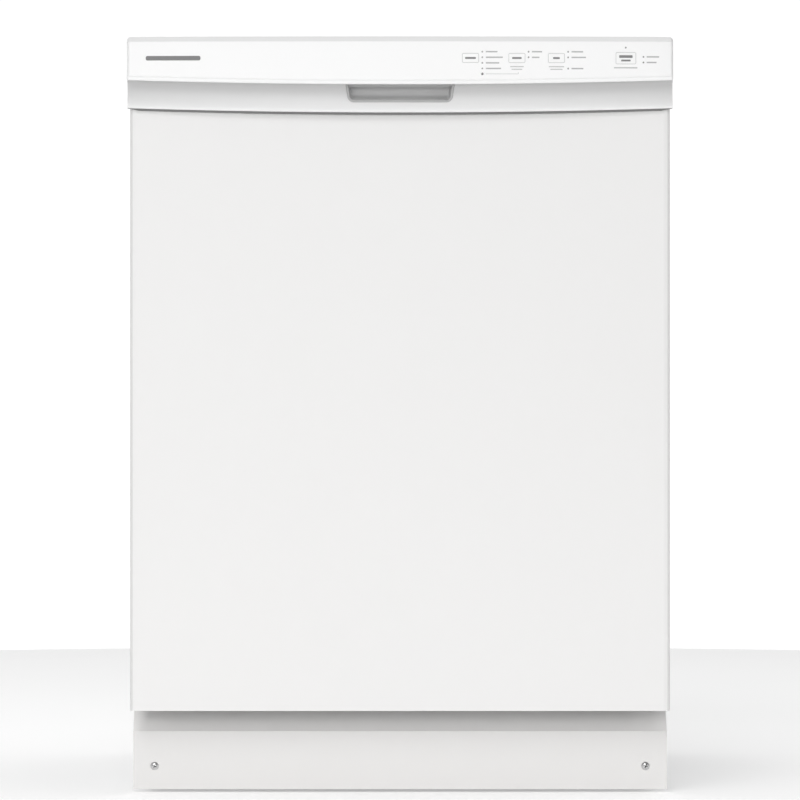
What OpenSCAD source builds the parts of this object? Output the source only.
// Built-in dishwasher, 24 inch class, front controls and a pocket handle.
// Frame: +Z up, the door faces -Y, origin on the floor below the middle of the machine.

/* [Overall] */
// Depth from the console's crown to the back of the base frame
depth = 635; // [615:1:645]
// Height of the console's top above the floor
height = 843; // [843:1:855]
// Width across the console
console_w = 606; // [604:1:606]

/* [Door] */
// Width of the steel door panel
panel_w = 600; // [600:0.5:601]
// How far the console's crown stands in front of the door panel
console_proud = 20; // [18:1:21]
// Height of the door panel's lower edge above the floor
panel_z0 = 94.5; // [93:0.5:96]
// Height of the console, from its lower edge at the middle to its top
console_h = 84; // [82:1:86]
// Width of the finger pocket under the console's lip
pocket_w = 122; // [100:1:130]

/* [Kick panel] */
// Width of the kick panel
kick_w = 598; // [594:1:600]
// How far the kick panel is set back from the door panel
kick_setback = 40; // [38:1:42]
// Gap between the kick panel and the floor
kick_gap = 4; // [2:1:8]

/* [Tub] */
// Outer width of the tub
tub_w = 566; // [560:2:566]
// Wall thickness of the tub
tub_wall = 4; // [3:0.5:5]

/* [Hidden] */
$fn = 48;
eps = 0.01;
sheet = 0.8;

// Door planes and the hinge axis
y_front = -depth / 2;
y_back = depth / 2;
y_panel = y_front + console_proud;
hinge_y = y_panel + 22.5;
hinge_z = panel_z0 + 15.5;
liner_y = hinge_y + 25;
plateau_y = liner_y + 15;
console_z0 = height - console_h;
pin_r = 4;
pin_play = 0.06;

// Tub
tub_y0 = liner_y + 4;
tub_y1 = y_back - 13.5;
tub_x = tub_w / 2;
in_x = tub_x - tub_wall;
ledge_z = hinge_z + 25;
tub_z1 = height - 27;
trough_x = 235;
trough_y0 = -215;
trough_y1 = 270;
trough_z = ledge_z - 31;
mid_y = 27;
flange_x = tub_x + 8;
flange_z1 = tub_z1 + 10;
sump_r = 72;
floor_z = trough_z + tub_wall;

// Base frame
rail_x0 = 284.5;
rail_t = 3;
rail_z0 = 20;
rail_z1 = 100;
rail_y0 = -225;
foot_x = 270;
foot_y = [-195, 285];
kick_y = y_panel + kick_setback;
kick_screw_x = 275;
kick_screw_z = 30;

// Door balance: a quadrant on each hinge arm winds a cable that stretches a spring
cable_x = 292.5;
cable_r = 1.25;
quadrant_r = 24;
cable_z = hinge_z + quadrant_r;
ferrule_y = -104;
spring_y0 = -92;
spring_y1 = 150;
spring_r = 6.5;

// Console
bow = 7;
droop = 5;
arc_tilt = atan(droop / bow);
arc_r = pow(console_w / 2, 2) / (2 * sqrt(bow * bow + droop * droop));
lip_z = console_z0 + 35;
pocket_z0 = console_z0 + 11;

// Keys: place along the console, then width and height of the cap
key_z = height - 24.5;
key_travel = 1;
cycles_at = [78, 19.4, 11.5];
temp_at = [129.4, 19.4, 11.5];
dry_at = [173.2, 19.4, 11.5];
start_at = [250.2, 23.4, 14];
// Indicator lamps: place along the console and height over the middle of the keys
lamp_rows = [
    [91.2, [7, 0.8, -5.4, -11.6, -17.6]],
    [142.4, [7, 0.8]],
    [186.3, [7, 0.8, -11.6]],
    [250.2, [11.8]],
    [269.9, [1.6, -4.6]]
];

// Racks
wire = 4;
rack_x = 246;
rack_y0 = -220;
upper_y1 = 250;
upper_z = 478;
upper_rim = 594;
lower_y1 = 246;
lower_z = 183;
lower_rim = 330;
lower_front_rim = 262;
rail_mid_z = 536;
manifold_z = 462;
roller_r = 10.7;
roller_y = [-200, -20];
rack_wheel_y = [40, 220];
wheel_r = 17;
wheel_y = [-132, 150];
wheel_z = ledge_z + wheel_r + 0.4;
basket_y0 = -206;
basket_y1 = -132;
basket_x = 115;

// Dispenser on the inner door
disp_x = 75;
disp_z0 = 390;
disp_z1 = 500;
cover_z0 = 400;
cover_z1 = 456;
cap_at = [40, 445];

// ---------- helpers ----------

// A box from its lowest corner to its highest one
module block(lo, hi) {
    translate(lo) cube([hi[0] - lo[0], hi[1] - lo[1], hi[2] - lo[2]]);
}

// A rod of diameter d along one axis, from a to b
module rod_x(x0, x1, y, z, d) {
    translate([x0, y, z]) rotate([0, 90, 0]) cylinder(d = d, h = x1 - x0);
}
module rod_y(x, y0, y1, z, d) {
    translate([x, y0, z]) rotate([-90, 0, 0]) cylinder(d = d, h = y1 - y0);
}
module rod_z(x, y, z0, z1, d) {
    translate([x, y, z0]) cylinder(d = d, h = z1 - z0);
}

// The same piece on the left and on the right
module both_sides() {
    children();
    mirror([1, 0, 0]) children();
}

// Rounded rectangle centred on the origin
module round_rect(w, h, r) {
    square([w - 2 * r, h], center = true);
    square([w, h - 2 * r], center = true);
    for (sx = [-1, 1], sy = [-1, 1])
        translate([sx * (w / 2 - r), sy * (h / 2 - r)]) circle(r);
}

// Extrudes a (y, z) profile along X, centred
module along_x(w) {
    rotate([90, 0, 90]) linear_extrude(w, center = true) children();
}

// Depth of the bowed console face at x, and its turn about Z
function face_y(x) = y_front + bow * pow(2 * x / console_w, 2);
function face_turn(x) = atan(8 * bow * x / pow(console_w, 2));

// ---------- cabinet: tub and base ----------

module tub_plan(x, y0, y1, r) {
    translate([-x, y0]) square([2 * x, y1 - y0 - r]);
    translate([-x + r, y0]) square([2 * x - 2 * r, y1 - y0]);
    for (s = [-1, 1]) translate([s * (x - r), y1 - r]) circle(r);
}

module tub() {
    color("silver") difference() {
        union() {
            translate([0, 0, ledge_z - tub_wall])
                linear_extrude(tub_z1 - ledge_z + tub_wall)
                    tub_plan(tub_x, tub_y0, tub_y1, 30);
            translate([0, (trough_y0 + trough_y1) / 2, trough_z])
                linear_extrude(ledge_z - trough_z)
                    round_rect(2 * trough_x, trough_y1 - trough_y0, 40);
            block([-flange_x, tub_y0, ledge_z + 15], [flange_x, tub_y0 + 3, flange_z1]);
        }
        translate([0, 0, ledge_z]) linear_extrude(tub_z1 - tub_wall - ledge_z)
            tub_plan(in_x, tub_y0 - 1, tub_y1 - tub_wall, 26);
        translate([0, (trough_y0 + trough_y1) / 2, floor_z])
            linear_extrude(ledge_z - floor_z + 1)
                round_rect(2 * (trough_x - tub_wall), trough_y1 - trough_y0 - 2 * tub_wall, 36);
        rod_z(0, mid_y, trough_z - 1, floor_z + 1, 2 * (sump_r - 6));
        block([-20, tub_y0 - 1, tub_z1 + 0.1], [20, tub_y0 + 4, flange_z1 + 1]);
        for (p = element_feet()) rod_z(p[0], p[1], trough_z - 1, floor_z + 1, element_d);
        rod_z(float_at[0], float_at[1], trough_z - 1, floor_z + 1, 10);
    }
}

module door_gasket() {
    x0 = in_x + 1;
    color("dimgray") difference() {
        block([-x0 - 9, liner_y + 0.4, ledge_z + 20], [x0 + 9, tub_y0, tub_z1 + 6]);
        block([-x0, liner_y - 1, ledge_z], [x0, tub_y0 + 1, tub_z1 - 3]);
    }
}

blanket_t = 6;
module sound_blanket() {
    x0 = tub_x + 0.5;
    z1 = tub_z1 + 0.5;
    color("gray") difference() {
        block([-x0 - blanket_t, tub_y0 + 8, ledge_z + 15], [x0 + blanket_t, tub_y1 - 34, z1 + blanket_t]);
        block([-x0, tub_y0 + 7, ledge_z], [x0, tub_y1, z1]);
        block([-28, tub_y0, z1 - 1], [28, tub_y0 + 42, z1 + blanket_t + 1]);
    }
}

// One side of the base: a folded rail with its hinge arm, posts and spring anchor
module base_side() {
    x1 = rail_x0 + rail_t;
    difference() {
        union() {
            block([rail_x0, rail_y0, rail_z0], [x1, y_back, rail_z1]);
            block([rail_x0 - 32, rail_y0, rail_z0], [x1, y_back, rail_z0 + 2]);
            block([rail_x0 - 20, rail_y0, rail_z1 - 2], [x1, y_back, rail_z1]);
            block([rail_x0, hinge_y, hinge_z - 11], [x1, rail_y0 + 40, hinge_z + 11]);
            rod_x(rail_x0, x1, hinge_y, hinge_z, 22);
            block([rail_x0, spring_y1 + 4, rail_z1 - 1], [x1, spring_y1 + 34, cable_z + 9]);
            block([rail_x0, spring_y1 + 8, cable_z - 9], [cable_x + 5, spring_y1 + 11, cable_z + 9]);
            for (y = [-219, 245]) block([rail_x0 - 22, y, rail_z1 - 2], [rail_x0, y + 3, ledge_z - tub_wall]);
        }
        rod_x(rail_x0 - 1, x1 + 1, hinge_y, hinge_z, 2 * pin_r + 0.1);
        for (y = foot_y) rod_z(foot_x, y, rail_z0 - 1, rail_z0 + 3, 9);
        rod_y(cable_x, spring_y1 + 7, spring_y1 + 12, cable_z, 4);
    }
}

// Tab that takes a kick panel screw
module kick_tab() {
    difference() {
        union() {
            block([262, kick_y + 1.2, 20], [rail_x0, kick_y + 3.2, 42]);
            block([rail_x0 - 2, kick_y + 1.2, 20], [rail_x0, rail_y0 + 1, 42]);
        }
        rod_y(kick_screw_x, kick_y - 1, kick_y + 5, kick_screw_z, 3.8);
    }
}

module base_frame() {
    color("darkgray") {
        both_sides() base_side();
        both_sides() kick_tab();
        block([-rail_x0, rail_y0, rail_z0], [rail_x0, rail_y0 + 2, 58]);
        block([-rail_x0, rail_y0, rail_z0], [rail_x0, rail_y0 + 16, rail_z0 + 2]);
        block([-rail_x0, y_back - 3, rail_z0], [rail_x0, y_back, 37]);
        block([-rail_x0, y_back - 22, rail_z0], [rail_x0, y_back, rail_z0 + 2]);
    }
}

module leveling_foot() {
    rotate_extrude() polygon([[0, 0], [17, 0], [17, 4], [8, 9], [8, 13], [4, 13], [4, 66], [0, 66]]);
    translate([0, 0, 13]) cylinder(r = 7.5, h = 7, $fn = 6);
    translate([0, 0, 22]) cylinder(r = 7.5, h = 6, $fn = 6);
}

module leveling_feet() {
    color("dimgray") both_sides() for (y = foot_y) translate([foot_x, y, 0]) leveling_foot();
}

bracket_x = 235;
bracket_z = height - 5;
module counter_brackets() {
    y0 = tub_y0 + 3;
    color("silver") both_sides() difference() {
        union() {
            block([bracket_x - 11, y0, tub_z1 + 0.1], [bracket_x + 11, y0 + 1.5, bracket_z]);
            block([bracket_x - 11, y0, bracket_z - 1.5], [bracket_x + 11, y0 + 42, bracket_z]);
        }
        rod_z(bracket_x, y0 + 26, bracket_z - 3, bracket_z + 1, 5.2);
    }
}

module hinge_pins() {
    color("silver") both_sides() {
        rod_x(rail_x0 - 0.5, 298, hinge_y, hinge_z, 2 * pin_r);
        rod_x(rail_x0 - 2.5, rail_x0 - 0.02, hinge_y, hinge_z, 13);
    }
}

// The kick panel: a face, a slope that leans back under the door, and a flange
kick_slope_z = 69;
kick_top_z = 93;
module kick_panel() {
    t = 1.2;
    color("white") difference() {
        along_x(kick_w) polygon([
            [kick_y, kick_gap], [kick_y, kick_slope_z], [kick_y + 23.5, kick_top_z],
            [rail_y0 - 1, kick_top_z], [rail_y0 - 1, kick_top_z - t], [kick_y + 24, kick_top_z - t],
            [kick_y + t, kick_slope_z - 0.5], [kick_y + t, kick_gap + t], [kick_y + 14, kick_gap + t],
            [kick_y + 14, kick_gap]
        ]);
        both_sides() rod_y(kick_screw_x, kick_y - 1, kick_y + 3, kick_screw_z, 4.4);
    }
}

module kick_screw() {
    difference() {
        union() {
            rod_y(0, -3.2, 0, 0, 9.5);
            rod_y(0, -eps, 12, 0, 3.6);
        }
        for (a = [0, 90]) rotate([0, a + 20, 0]) block([-2.6, -4, -0.6], [2.6, -1.6, 0.6]);
    }
}

module kick_screws() {
    color("silver") for (s = [-1, 1]) translate([s * kick_screw_x, kick_y, kick_screw_z]) kick_screw();
}

// ---------- water and wash parts ----------

valve_at = [-215, -165];
inlet_r = 7.4;
module inlet_valve() {
    x = valve_at[0];
    y = valve_at[1];
    color("ivory") difference() {
        union() {
            rod_z(x, y, 30, 62, 30);
            rod_z(x, y, 26, 30, 36);
            rod_z(x, y, 62, 90, 25);
            block([x - 16, y - 16, 66], [x + 16, y + 16, 86]);
            rod_y(x, y, y + 26, 48, 12);
            block([x - 12, rail_y0 + 2, 40], [x + 12, y, 43]);
        }
        rod_z(x, y, 25, 44, 2 * inlet_r);
    }
}

module fill_hose() {
    x = valve_at[0];
    y0 = valve_at[1] + 26;
    r = 22;
    y1 = y0 + 150;
    color("dimgray") {
        rod_y(x, y0, y1, 48, 15);
        translate([x, y1, 48 + r]) rotate([0, 90, 0]) rotate_extrude(angle = 90)
            translate([r, 0]) circle(d = 15);
        rod_z(x, y1 + r, 48 + r, trough_z, 15);
    }
}

module sump() {
    color("dimgray") {
        difference() {
            union() {
                rod_z(0, mid_y, 36, trough_z, 2 * sump_r);
                rod_x(-sump_r - 6, sump_r + 6, mid_y, motor_z, 46);
            }
            rod_z(0, mid_y, 42, trough_z + 1, 2 * (sump_r - 6));
        }
        rod_z(0, mid_y, 40, 148, 28);
        rod_z(0, mid_y, 147, 172, 12);
        rod_z(0, mid_y, 170, 178, 22);
    }
}

motor_z = 60;
module wash_motor() {
    color("gray") {
        rod_x(sump_r + 6.1, 88, mid_y, motor_z, 44);
        rod_x(84, 100, mid_y, motor_z, 84);
        rod_x(100, 190, mid_y, motor_z, 74);
        rod_x(190, 198, mid_y, motor_z, 50);
        rod_x(198, 206, mid_y, motor_z, 16);
        block([120, mid_y - 12, motor_z - 44], [170, mid_y + 12, motor_z - 30]);
    }
}

drain_at = [-112, 62];
spigot_r = 9.5;
module drain_pump() {
    color("dimgray") {
        rod_x(-92, -sump_r - 6.1, mid_y, 60, 30);
        rod_x(-132, -90, mid_y, 60, 56);
        rod_x(-168, -132, mid_y, 60, 42);
        rod_y(drain_at[0], mid_y, mid_y + 40, drain_at[1], 24);
        rod_y(drain_at[0], mid_y + 40, mid_y + 74, drain_at[1], 2 * spigot_r);
    }
}

element_d = 8;
element_r = 170;
element_z = 128;
element_gap = 28;
function element_feet() = [for (a = [90 - element_gap, 90 + element_gap])
    [element_r * cos(a), mid_y + element_r * sin(a)]];
module heating_element() {
    color("dimgray") {
        translate([0, mid_y, element_z]) rotate([0, 0, 90 + element_gap])
            rotate_extrude(angle = 360 - 2 * element_gap) translate([element_r, 0]) circle(d = element_d);
        for (p = element_feet()) {
            rod_z(p[0], p[1], trough_z - 22, element_z, element_d);
            rod_z(p[0], p[1], element_z - 6, element_z + 5, element_d + 3);
            translate([p[0], p[1], trough_z - 8]) cylinder(r = 9, h = 8, $fn = 6);
        }
    }
}

module filter_plate() {
    color("gray") difference() {
        union() {
            rod_z(0, mid_y, floor_z, floor_z + 4, 212);
            rod_z(0, mid_y, 52, floor_z + 1, 124);
            rod_z(0, mid_y, floor_z, floor_z + 9, 130);
        }
        rod_z(0, mid_y, 54, floor_z + 5, 120);
        rod_z(0, mid_y, 50, floor_z + 12, 30);
    }
}

module delivery_tube() {
    y1 = tub_y1 - tub_wall - 0.5;
    color("gray") {
        block([-14, mid_y + 14.5, 136], [14, y1, 146]);
        block([-17, y1 - 15, 136], [17, y1, 806]);
        block([-13, mid_y - 12, 797], [13, y1, 808]);
        rod_y(0, y1 - 27, y1 - 14, manifold_z, 26);
    }
}

module top_spray_head() {
    color("gray") difference() {
        union() {
            rod_z(0, mid_y, 790, 797, 92);
            rod_z(0, mid_y, 784, 790, 64);
        }
        for (a = [0:60:300]) translate([22 * cos(a), mid_y + 22 * sin(a), 783]) cylinder(d = 4, h = 4);
    }
}

module roller_brackets() {
    color("gray") both_sides() for (y = roller_y) {
        block([in_x - 3, y - 22, rail_mid_z - 30], [in_x, y + 22, rail_mid_z + 30]);
        rod_x(268.4, in_x - 2.9, y, rail_mid_z, 6);
    }
}

// A roller for the rail's outer channel, on both sides
module rail_roller(y) {
    color("gainsboro") both_sides() difference() {
        rod_x(269, 274.5, y, rail_mid_z, 2 * roller_r);
        rod_x(268, 275.5, y, rail_mid_z, 6.12);
    }
}
module rail_rollers_front() rail_roller(roller_y[0]);
module rail_rollers_rear() rail_roller(roller_y[1]);

knockout_r = 11.1;
jbox = [[212, -223, 26], [262, -143, 78]];
module junction_box() {
    t = 1.5;
    color("silver") difference() {
        block(jbox[0], jbox[1]);
        block(jbox[0] + [t, t, t], jbox[1] - [t, t, t]);
        rod_y((jbox[0][0] + jbox[1][0]) / 2, jbox[1][1] - 3, jbox[1][1] + 1, 52, 2 * knockout_r);
    }
}

strike_y = -236;
strike_z = height - 16;
module strike_plate() {
    color("silver") {
        block([-20, tub_y0 + 3, tub_z1], [20, tub_y0 + 28, tub_z1 + 1.5]);
        both_sides() block([12, tub_y0 + 3, tub_z1], [14, tub_y0 + 20, strike_z + 3]);
        rod_x(-14, 14, strike_y, strike_z, 4);
    }
}

// ---------- door balance ----------

module door_springs() {
    color("gray") both_sides() {
        difference() {
            rod_y(cable_x, spring_y0, spring_y1, cable_z, 2 * spring_r);
            rod_y(cable_x, spring_y0 + 2.5, spring_y1 - 2.5, cable_z, 2 * spring_r - 4.6);
        }
        rod_y(cable_x, spring_y1 - 1, spring_y1 + 14, cable_z, 3.4);
        rod_y(cable_x, spring_y1 + 11.2, spring_y1 + 14, cable_z, 7);
    }
}

module door_cables() {
    color("black") both_sides() rod_y(cable_x, hinge_y, ferrule_y, cable_z, 2 * cable_r);
}

module spring_hooks() {
    color("silver") both_sides() {
        rod_y(cable_x, ferrule_y, ferrule_y + 9, cable_z, 6);
        rod_y(cable_x, ferrule_y + 9, spring_y0, cable_z, 3);
    }
}

// ---------- door ----------

module door_panel() {
    r = 4;
    d = 25;
    color("white") translate([0, y_panel, panel_z0]) {
        linear_extrude(console_z0 + 7 - panel_z0) difference() {
            pan(panel_w, d, r);
            translate([0, sheet]) pan(panel_w - 2 * sheet, d + 1, r - sheet);
        }
        translate([-panel_w / 2 + r, 0, 0]) cube([panel_w - 2 * r, 10, sheet]);
    }
}

// A plan outline with its two front corners rounded
module pan(w, d, r) {
    translate([-w / 2, r]) square([w, d - r]);
    translate([-w / 2 + r, 0]) square([w - 2 * r, d]);
    for (s = [-1, 1]) translate([s * (w / 2 - r), r]) circle(r);
}

module door_liner() {
    t = 3;
    x = panel_w / 2 - 1;
    z1 = height - 5;
    py0 = hinge_z + 40;
    py1 = height - 58;
    color("silver") difference() {
        union() {
            block([-x, liner_y - t, hinge_z - 5], [x, liner_y, z1]);
            both_sides() block([x - t, y_panel + 25.5, ledge_z + 17], [x, liner_y, z1]);
            block([-236, liner_y - t, py0], [236, plateau_y, py1]);
        }
        block([-236 + t, liner_y - t - 1, py0 + t], [236 - t, plateau_y - t, py1 - t]);
        both_sides() block([283, liner_y - t - 1, hinge_z - 6], [x + 1, liner_y + 1, ledge_z + 17]);
        block([-disp_x + 4, liner_y, disp_z0 + 4], [disp_x - 4, plateau_y + 1, disp_z1 - 4]);
        block([-7, liner_y - t - 1, strike_z - 8], [7, liner_y + 1, z1 + 1]);
        rod_y(vent_at[0], liner_y, plateau_y + 1, vent_at[1], 60);
    }
}

// Side view of the console, with the sweep that undercuts its lip
module console_section() {
    y = y_front;
    back = liner_y + 20;
    polygon([
        [y + 6, height + 12], [y, height + 12], [y, lip_z + 3.4], [y + 0.8, lip_z + 0.6],
        [y + 2, lip_z], [y + 7, lip_z - 1], [y + 10.6, lip_z - 3.4], [y + 13, lip_z - 7],
        [y + 14.6, lip_z - 11.5], [y + 15.2, lip_z - 16.5], [y + 14.6, lip_z - 21.5], [y + 13.2, lip_z - 26],
        [y + 11.8, lip_z - 29.5], [y + 11, lip_z - 32], [y + 11, console_z0 + 1.2], [y + 12, console_z0],
        [back, console_z0], [back, height + 12]
    ]);
}

// Room behind the console's front wall
module console_room() {
    y = y_front;
    polygon([
        [y + 3, height + 12], [y + 3, lip_z + 3], [y + 20, lip_z + 1.5], [y + 20, console_z0 - 4],
        [liner_y + 22, console_z0 - 4], [liner_y + 22, height + 12]
    ]);
}

// Sweeps a side view along the console's arc: the ends go back and up
module along_bow(half) {
    a = asin(half / arc_r);
    translate([0, y_front + arc_r * cos(arc_tilt), lip_z + arc_r * sin(arc_tilt)])
        rotate([arc_tilt, 0, 0]) rotate([0, 0, -90 - a]) rotate_extrude(angle = 2 * a, $fn = 720)
            translate([arc_r, 0]) mirror([1, 0]) rotate(-arc_tilt) translate([-y_front, -lip_z])
                children();
}

module console_shell() {
    x = console_w / 2;
    difference() {
        intersection() {
            along_bow(x + 30) console_section();
            block([-x, y_front - 1, console_z0 - 1], [x, liner_y - 3.2, height]);
        }
        intersection() {
            along_bow(x + 30) console_room();
            block([-x + 3, y_front - 1, console_z0 - 9], [x - 3, liner_y, height - 3]);
        }
        block([-panel_w / 2 - 0.4, y_panel - 0.5, console_z0 - 9], [panel_w / 2 + 0.4, liner_y, console_z0 + 7.5]);
        block([-pocket_w / 2, y_front + 4, pocket_z0], [pocket_w / 2, y_front + 40, lip_z - 1.6]);
    }
}

// Places a piece on the bowed face at x, with its own -Y outwards
module on_face(x) {
    translate([x, face_y(x), key_z]) rotate([0, 0, face_turn(x)]) children();
}

module key_window(at, play) {
    translate([0, 20, 0]) rotate([90, 0, 0]) linear_extrude(24) round_rect(at[1] + play, at[2] + play, 1.6);
}

module console() {
    color("white") difference() {
        console_shell();
        for (k = [cycles_at, temp_at, dry_at, start_at]) on_face(k[0]) key_window(k, 0.8);
        for (row = lamp_rows, z = row[1]) on_face(row[0]) rod_y(0, -2, 12, z, 2.2);
    }
}

module key(at) {
    color("white") on_face(at[0]) {
        translate([0, 2.5, 0]) rotate([90, 0, 0]) linear_extrude(2.7) round_rect(at[1], at[2], 1.2);
        rod_y(0, 2, 11.5, 0, 4);
    }
}
module cycles_key() key(cycles_at);
module temp_key() key(temp_at);
module dry_key() key(dry_at);
module start_key() key(start_at);

module status_lights() {
    color("gainsboro") for (row = lamp_rows, z = row[1]) on_face(row[0]) rod_y(0, -0.15, 11, z, 2);
}

module handle_pocket() {
    t = 2;
    color("gray") difference() {
        block([-pocket_w / 2 + 0.3, y_front + 15.6, pocket_z0 + 0.3], [pocket_w / 2 - 0.3, y_front + 39, lip_z - 2]);
        block([-pocket_w / 2 + t, y_front + 10, pocket_z0 + t], [pocket_w / 2 - t, y_front + 37, lip_z - 4]);
    }
}

module control_board() {
    y0 = y_front + 25;
    color("darkgreen") {
        block([60, y0, lip_z + 9], [288, y0 + 1.6, height - 6]);
        for (k = [cycles_at, temp_at, dry_at, start_at])
            block([k[0] - 3, face_y(k[0]) + 13.2, key_z - 3], [k[0] + 3, y0 + eps, key_z + 3]);
        block([200, y0 + 1.5, lip_z + 10], [230, y0 + 12, height - 14]);
        block([110, y0 + 1.5, lip_z + 12], [150, y0 + 7, height - 16]);
    }
}

hook_y = strike_y - 36;
module latch_housing() {
    color("dimgray") {
        both_sides() block([6.5, hook_y - 9, strike_z - 18], [30, liner_y - 3.5, strike_z + 9]);
        block([-30, hook_y - 13, strike_z - 18], [30, hook_y - 8.9, strike_z + 9]);
    }
}

// Two leaf springs that snap over the strike's bar
module latch_jaws() {
    color("silver") for (m = [0, 1]) translate([0, 0, strike_z]) mirror([0, 0, m]) {
        block([-5, hook_y - 8.5, 2.5], [5, strike_y + 6, 4]);
        block([-5, strike_y + 2.5, 0.5], [5, strike_y + 6, 4]);
        block([-5, hook_y - 8.5, -eps], [5, hook_y - 4, 4]);
    }
}

module dispenser_body() {
    color("gray") difference() {
        union() {
            block([-disp_x, plateau_y, disp_z0], [disp_x, plateau_y + 2, disp_z1]);
            block([-disp_x + 5, plateau_y - 42, disp_z0 + 5], [disp_x - 5, plateau_y + 1, disp_z1 - 5]);
        }
        block([-61, plateau_y - 36, cover_z0 + 3], [-3, plateau_y + 3, cover_z1 - 3]);
        rod_y(cap_at[0], plateau_y - 20, plateau_y + 3, cap_at[1], 20);
    }
}

module dispenser_cover() {
    y0 = plateau_y + 2.3;
    color("gainsboro") {
        block([-65, y0, cover_z0], [1, y0 + 2.5, cover_z1]);
        rod_x(-65, 1, y0 + 1.25, cover_z0, 2.5);
    }
}

module rinse_cap() {
    y = plateau_y + 2.3;
    color("gainsboro") {
        rod_y(cap_at[0], y, y + 3.5, cap_at[1], 34);
        block([cap_at[0] - 13, y + 3, cap_at[1] - 2], [cap_at[0] + 13, y + 6.5, cap_at[1] + 2]);
        rod_y(cap_at[0], plateau_y - 8, y + 1, cap_at[1], 19);
    }
}

vent_at = [150, 700];
module door_vent() {
    x = vent_at[0];
    z = vent_at[1];
    color("gray") difference() {
        union() {
            rod_y(x, plateau_y, plateau_y + 3, z, 76);
            rod_y(x, plateau_y - 20, plateau_y + 1, z, 58);
        }
        for (i = [-2:2]) block([x - 24, plateau_y - 16, z + 9 * i - 2.5], [x + 24, plateau_y + 4, z + 9 * i + 2.5]);
    }
}

// Hinge arm: a plate up the door's side, with the quadrant that winds the cable
module hinge_arm() {
    x0 = rail_x0 + rail_t + 1;
    difference() {
        union() {
            block([x0, hinge_y - 12, hinge_z], [x0 + 2, liner_y - 6, hinge_z + 200]);
            rod_x(x0, x0 + 2, hinge_y, hinge_z, 24);
            intersection() {
                union() {
                    rod_x(x0, cable_x - 1.8, hinge_y, hinge_z, 51);
                    rod_x(cable_x - 2, cable_x + 2, hinge_y, hinge_z, 2 * (quadrant_r - cable_r) - 0.3);
                    rod_x(cable_x + 1.8, cable_x + 4.5, hinge_y, hinge_z, 51);
                }
                block([x0, hinge_y, hinge_z], [cable_x + 5, hinge_y + 26, hinge_z + 26]);
            }
            rod_x(x0, cable_x + 4.5, hinge_y, hinge_z, 16);
            block([x0, hinge_y - 7, cable_z - 3], [cable_x + 4.5, hinge_y - 0.1, cable_z + 2.5]);
        }
        rod_x(x0 - 1, cable_x + 6, hinge_y, hinge_z, 2 * (pin_r + pin_play));
    }
}

module hinge_arms() {
    color("silver") both_sides() hinge_arm();
}

module door_insulation() {
    color("dimgray") difference() {
        block([-280, y_panel + 6, 165], [280, liner_y - 5, console_z0 - 15]);
        block([-disp_x - 4, plateau_y - 46, disp_z0 - 4], [disp_x + 4, liner_y, disp_z1 + 4]);
    }
}

module liner_screws() {
    color("silver") both_sides() for (z = [190:125:815]) rod_y(295.2, liner_y, liner_y + 1.8, z, 6.4);
}

// ---------- racks ----------

// A flat grille of wires in a plane, as rows of rods
module floor_grille(y0, y1, z, d) {
    for (i = [0:10]) rod_y(-210 + 42 * i, y0, y1, z, d);
    for (j = [0:8]) rod_x(-rack_x + d, rack_x - d, y0 + 6 + (y1 - y0 - 12) * j / 8, z, d);
}

// Wall across the front or back
module end_wall(y, z0, z1, d) {
    rod_x(-rack_x, rack_x, y, z1, d + 2);
    rod_x(-rack_x, rack_x, y, (z0 + z1) / 2, d);
    for (i = [0:8]) rod_z(-rack_x + 6 + (2 * rack_x - 12) * i / 8, y, z0, z1, d);
}

// Wall along one side
module side_wall(x, y0, y1, z0, z1, d) {
    rod_y(x, y0, y1, z1, d + 2);
    rod_y(x, y0, y1, (z0 + z1) / 2, d);
    for (i = [0:8]) rod_z(x, y0 + 8 + (y1 - y0 - 16) * i / 8, z0, z1, d);
}

module basket_walls(y0, y1, z0, z1, front_z1, d) {
    gap = d / 2 + 1.6;
    end_wall(y0, z0, front_z1, d);
    end_wall(y1, z0, z1, d);
    for (s = [-1, 1]) side_wall(s * rack_x, y0 + gap + 2.5, y1 - gap - 2.5, z0, front_z1, d);
}

module upper_rack() {
    color("gainsboro") {
        floor_grille(rack_y0 + 4, upper_y1 - 4, upper_z, wire);
        basket_walls(rack_y0, upper_y1, upper_z + 3.2, upper_rim, upper_rim, wire);
        both_sides() for (y = [-100, 100], z = [-4.8, 4.8])
            rod_x(rack_x - 19, rack_x, y, upper_z + 92 + z, wire);
    }
}

// A row of prongs on one bar, along Y
module comb(x, y0, y1, z, h, pitch) {
    rod_y(x, y0, y1, z, wire);
    for (y = [y0 + 6:pitch:y1 - 6]) rod_z(x, y, z, z + h, wire - 0.6);
}

module upper_tines() {
    color("gainsboro") for (x = [-105, 105]) comb(x, -200, 232, upper_z + 4.5, 62, 32);
}

module rack_brackets() {
    x0 = rack_x + 4;
    color("gray") both_sides() {
        block([x0, 18, rail_mid_z - 16], [x0 + 3, 242, rail_mid_z + 16]);
        for (y = rack_wheel_y) {
            rod_x(x0 + 3 - eps, 257, y, rail_mid_z, 9);
            block([257, y - 14, rail_mid_z - roller_r], [264, y + 14, rail_mid_z + roller_r]);
        }
    }
}

module rack_rails() {
    color("silver") both_sides() {
        block([265.5, -222, rail_mid_z - 13], [267.5, 238, rail_mid_z + 13]);
        for (s = [-1, 1]) block([256, -222, rail_mid_z + s * 12 - 1], [274.6, 238, rail_mid_z + s * 12 + 1]);
        block([256, 235, rail_mid_z - 12], [267, 238, rail_mid_z + 12]);
    }
}

module rack_manifold() {
    color("gray") {
        rod_y(0, mid_y, 272, manifold_z, 22);
        rod_z(0, mid_y, manifold_z - 11, upper_z - 3, 32);
        rod_z(0, mid_y, 432, manifold_z - 10, 10);
        rod_z(0, mid_y, 427, 433, 20);
    }
}

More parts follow.
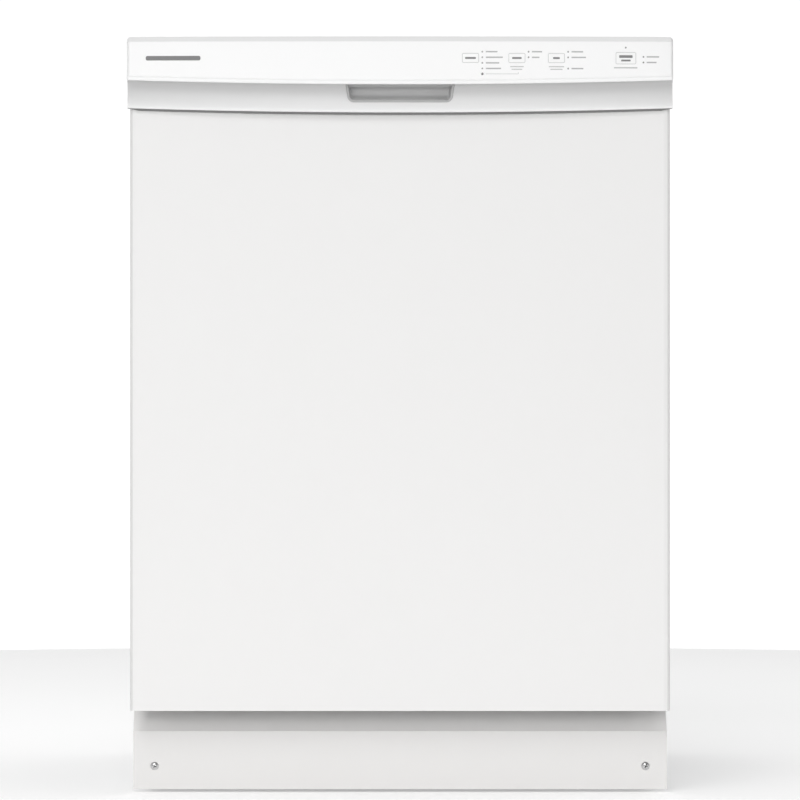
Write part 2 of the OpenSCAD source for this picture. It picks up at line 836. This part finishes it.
// A spray arm about the Z axis: blades, hub, bore and jets
module spray_arm(z0, r, bore_d) {
    difference() {
        union() {
            translate([0, 0, z0]) linear_extrude(11) {
                polygon([[-r + 14, -14], [-30, -23], [30, -23], [r - 14, -14],
                    [r - 14, 14], [30, 23], [-30, 23], [-r + 14, 14]]);
                for (s = [-1, 1]) translate([s * (r - 14), 0]) circle(14);
            }
            translate([0, 0, z0 - 2]) cylinder(r = 26, h = 16);
            for (s = [-1, 1], i = [0:3]) translate([s * (60 + i * (r - 90) / 3), 0, z0 + 10.9])
                cylinder(d1 = 10, d2 = 7, h = 2.5);
        }
        translate([0, 0, z0 - 3]) cylinder(d = bore_d, h = 20);
    }
}

module lower_spray_arm() {
    color("gray") translate([0, mid_y, 0]) spray_arm(153, 234, 12.12);
}

module middle_spray_arm() {
    color("gray") translate([0, mid_y, 0]) spray_arm(435.5, 205, 10.12);
}

// Fold-up shelf for cups along a side of the upper rack
module cup_shelf() {
    x0 = rack_x - 14;
    z = upper_z + 92;
    rod_y(x0, -160, 160, z, 5);
    rod_y(x0 - 92, -160, 160, z, 4);
    for (i = [0:8]) rod_x(x0 - 92, x0, -160 + 40 * i, z, 3.4);
}
module cup_shelf_right() {
    color("gainsboro") cup_shelf();
}
module cup_shelf_left() {
    color("gainsboro") mirror([1, 0, 0]) cup_shelf();
}

module lower_rack() {
    d = wire + 1;
    color("gainsboro") {
        floor_grille(rack_y0 + 5, lower_y1 - 5, lower_z, d);
        basket_walls(rack_y0, lower_y1, lower_z + 4.2, lower_rim, lower_front_rim, d);
        both_sides() for (y = wheel_y) {
            rod_x(241, 263, y, wheel_z, 8);
            block([239.8, y - 8, wheel_z - 7], [242.8, y + 8, lower_z + 14]);
        }
    }
}

module lower_tines() {
    color("gainsboro") for (x = [-170, -84, 84, 170]) comb(x, -112, 230, lower_z + 5.5, 88, 28.5);
}

// A pair of lower rack wheels on one axle line, running on the tub's ledges
module wheel_pair(y) {
    color("gray") both_sides() difference() {
        rod_x(249, 260, y, wheel_z, 2 * wheel_r);
        rod_x(248, 261, y, wheel_z, 8.12);
    }
}
module rack_wheels_front() wheel_pair(wheel_y[0]);
module rack_wheels_rear() wheel_pair(wheel_y[1]);

module silverware_basket() {
    z0 = lower_z + 3;
    z1 = 322;
    t = 2.5;
    color("gray") {
        difference() {
            block([-basket_x, basket_y0, z0], [basket_x, basket_y1, z1]);
            for (i = [-1:1]) block([i * 75.8 - 36.6, basket_y0 + t, z0 + t], [i * 75.8 + 36.6, basket_y1 - t, z1 + 1]);
        }
        both_sides() block([36.6, -176, z1 - 4], [39.2, -162, 385]);
        block([-39.2, -176, 379], [39.2, -162, 388]);
    }
}

float_at = [190, -185];
module float() {
    color("white") {
        rod_z(float_at[0], float_at[1], floor_z + 0.5, floor_z + 28, 44);
        rod_z(float_at[0], float_at[1], 84, floor_z + 1, 8);
        rod_z(float_at[0], float_at[1], 80, 86, 16);
    }
}

// ---------- one node at a time ----------

tub();
door_gasket();
sound_blanket();
base_frame();
leveling_feet();
counter_brackets();
hinge_pins();
kick_panel();
kick_screws();
inlet_valve();
fill_hose();
sump();
wash_motor();
drain_pump();
heating_element();
filter_plate();
delivery_tube();
top_spray_head();
roller_brackets();
junction_box();
strike_plate();
door_springs();
door_cables();
spring_hooks();
door_panel();
door_liner();
console();
handle_pocket();
control_board();
latch_housing();
latch_jaws();
dispenser_body();
dispenser_cover();
rinse_cap();
door_vent();
hinge_arms();
door_insulation();
liner_screws();
status_lights();
cycles_key();
temp_key();
dry_key();
start_key();
rack_rails();
rail_rollers_front();
rail_rollers_rear();
upper_rack();
upper_tines();
rack_brackets();
rack_manifold();
middle_spray_arm();
cup_shelf_left();
cup_shelf_right();
lower_rack();
lower_tines();
rack_wheels_front();
rack_wheels_rear();
silverware_basket();
lower_spray_arm();
float();
